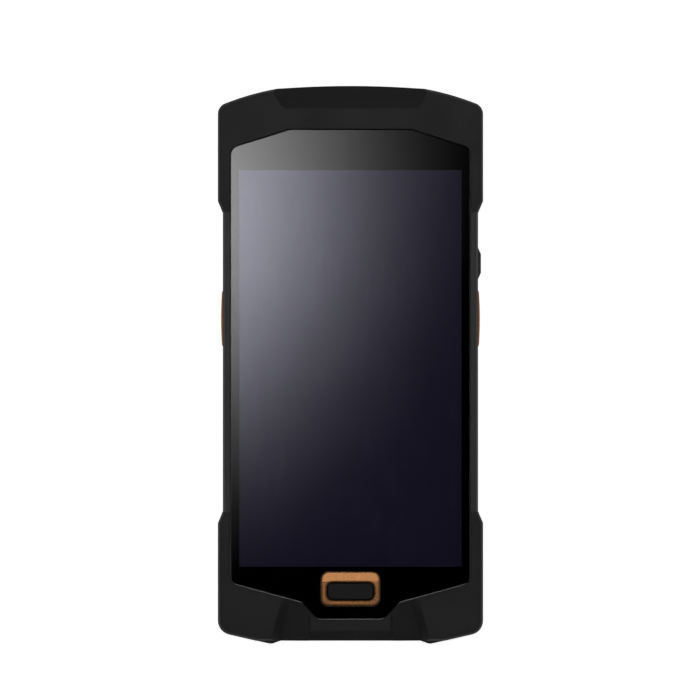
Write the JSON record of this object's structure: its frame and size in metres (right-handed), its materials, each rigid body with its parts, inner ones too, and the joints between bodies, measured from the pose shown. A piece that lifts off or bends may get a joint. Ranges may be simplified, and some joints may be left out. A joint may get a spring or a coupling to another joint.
{
  "type": "handheld payment terminal",
  "caption": "Slim handheld payment terminal with a large touch screen, ringed key, side scan keys, end bumpers, card slot and rear battery cover.",
  "frame": {"origin": "centre of the bounding box at the plane of the bumpers' back faces, on which the terminal lies", "axes": "+X to the right of the screen, +Y towards the top end, +Z out of the screen"},
  "size_m": [0.074, 0.1556, 0.017],
  "materials": {
    "frame_plastic": "fine grained dark moulded plastic",
    "back_plastic": "fine textured dark moulded plastic",
    "bumper_rubber": "dense dark rubber-like overmould",
    "cell_film": "printed film sleeve without print",
    "front_glass": "polished cover glass with black border",
    "seal_foam": "black adhesive foam",
    "display_face": "dark switched-off display",
    "pressed_steel": "bright pressed sheet",
    "pressed_alloy": "stamped sheet",
    "orange_ring": "anodised orange, satin",
    "orange_key": "orange moulded plastic",
    "key_plastic": "dark moulded plastic",
    "board_green": "circuit board laminate",
    "spring_steel": "formed spring metal",
    "screw_steel": "dark plated steel",
    "reader_plastic": "filled moulded plastic",
    "contact_gold": "gold plated contacts",
    "coil_copper": "copper coil on film",
    "ferrite_grey": "ferrite film",
    "dark_glass": "tinted window",
    "clear_lens": "frosted lens"
  },
  "bodies": {
    "root": {"battery_contacts": "key_plastic", "battery_pack": "cell_film", "board_screws": "screw_steel", "bottom_bumper": "bumper_rubber", "camera_module": "key_plastic", "camera_window": "dark_glass", "card_contacts": "contact_gold", "card_reader": "reader_plastic", "chassis_plate": "pressed_alloy", "clock_cell": "spring_steel", "cover_glass": "front_glass", "display_backlight": "pressed_steel", "display_panel": "display_face", "ferrite_sheet": "ferrite_grey", "flash_led": "reader_plastic", "flash_lens": "clear_lens", "front_frame": "frame_plastic", "glass_gasket": "seal_foam", "home_key_board": "board_green", "home_key_ring": "orange_ring", "home_key_switch": "spring_steel", "housing_screws": "screw_steel", "left_key_board": "board_green", "left_scan_switch": "spring_steel", "main_board": "board_green", "nfc_coil": "coil_copper", "power_switch": "spring_steel", "rear_housing": "back_plastic", "right_key_board": "board_green", "right_scan_switch": "spring_steel", "scan_engine": "key_plastic", "scan_window": "dark_glass", "shield_cans": "pressed_steel", "sim_socket": "pressed_steel", "speaker": "key_plastic", "speaker_mesh": "seal_foam", "top_bumper": "bumper_rubber", "usb_connector": "pressed_steel", "vibration_motor": "pressed_steel"},
    "home_key": {"home_key": "key_plastic"},
    "left_scan_key": {"left_scan_key": "orange_key"},
    "right_scan_key": {"right_scan_key": "orange_key"},
    "power_key": {"power_key": "key_plastic"},
    "battery_cover": {"battery_cover": "back_plastic"}
  },
  "joints": [
    {"name": "home_key_press", "type": "slide", "parent": "root", "child": "home_key", "axis": [0, 0, -1], "range_m": [0, 0.0004], "stiffness_N_per_m": 700},
    {"name": "left_scan_key_press", "type": "slide", "parent": "root", "child": "left_scan_key", "axis": [1, 0, 0], "range_m": [0, 0.0004], "stiffness_N_per_m": 700},
    {"name": "right_scan_key_press", "type": "slide", "parent": "root", "child": "right_scan_key", "axis": [-1, 0, 0], "range_m": [0, 0.0004], "stiffness_N_per_m": 700},
    {"name": "power_key_press", "type": "slide", "parent": "root", "child": "power_key", "axis": [-1, 0, 0], "range_m": [0, 0.0004], "stiffness_N_per_m": 700},
    {"name": "battery_cover_swing", "type": "hinge", "parent": "root", "child": "battery_cover", "pos_m": [0, 0.0356, 0.001], "axis": [1, 0, 0], "range_deg": [0, 50]}
  ]
}
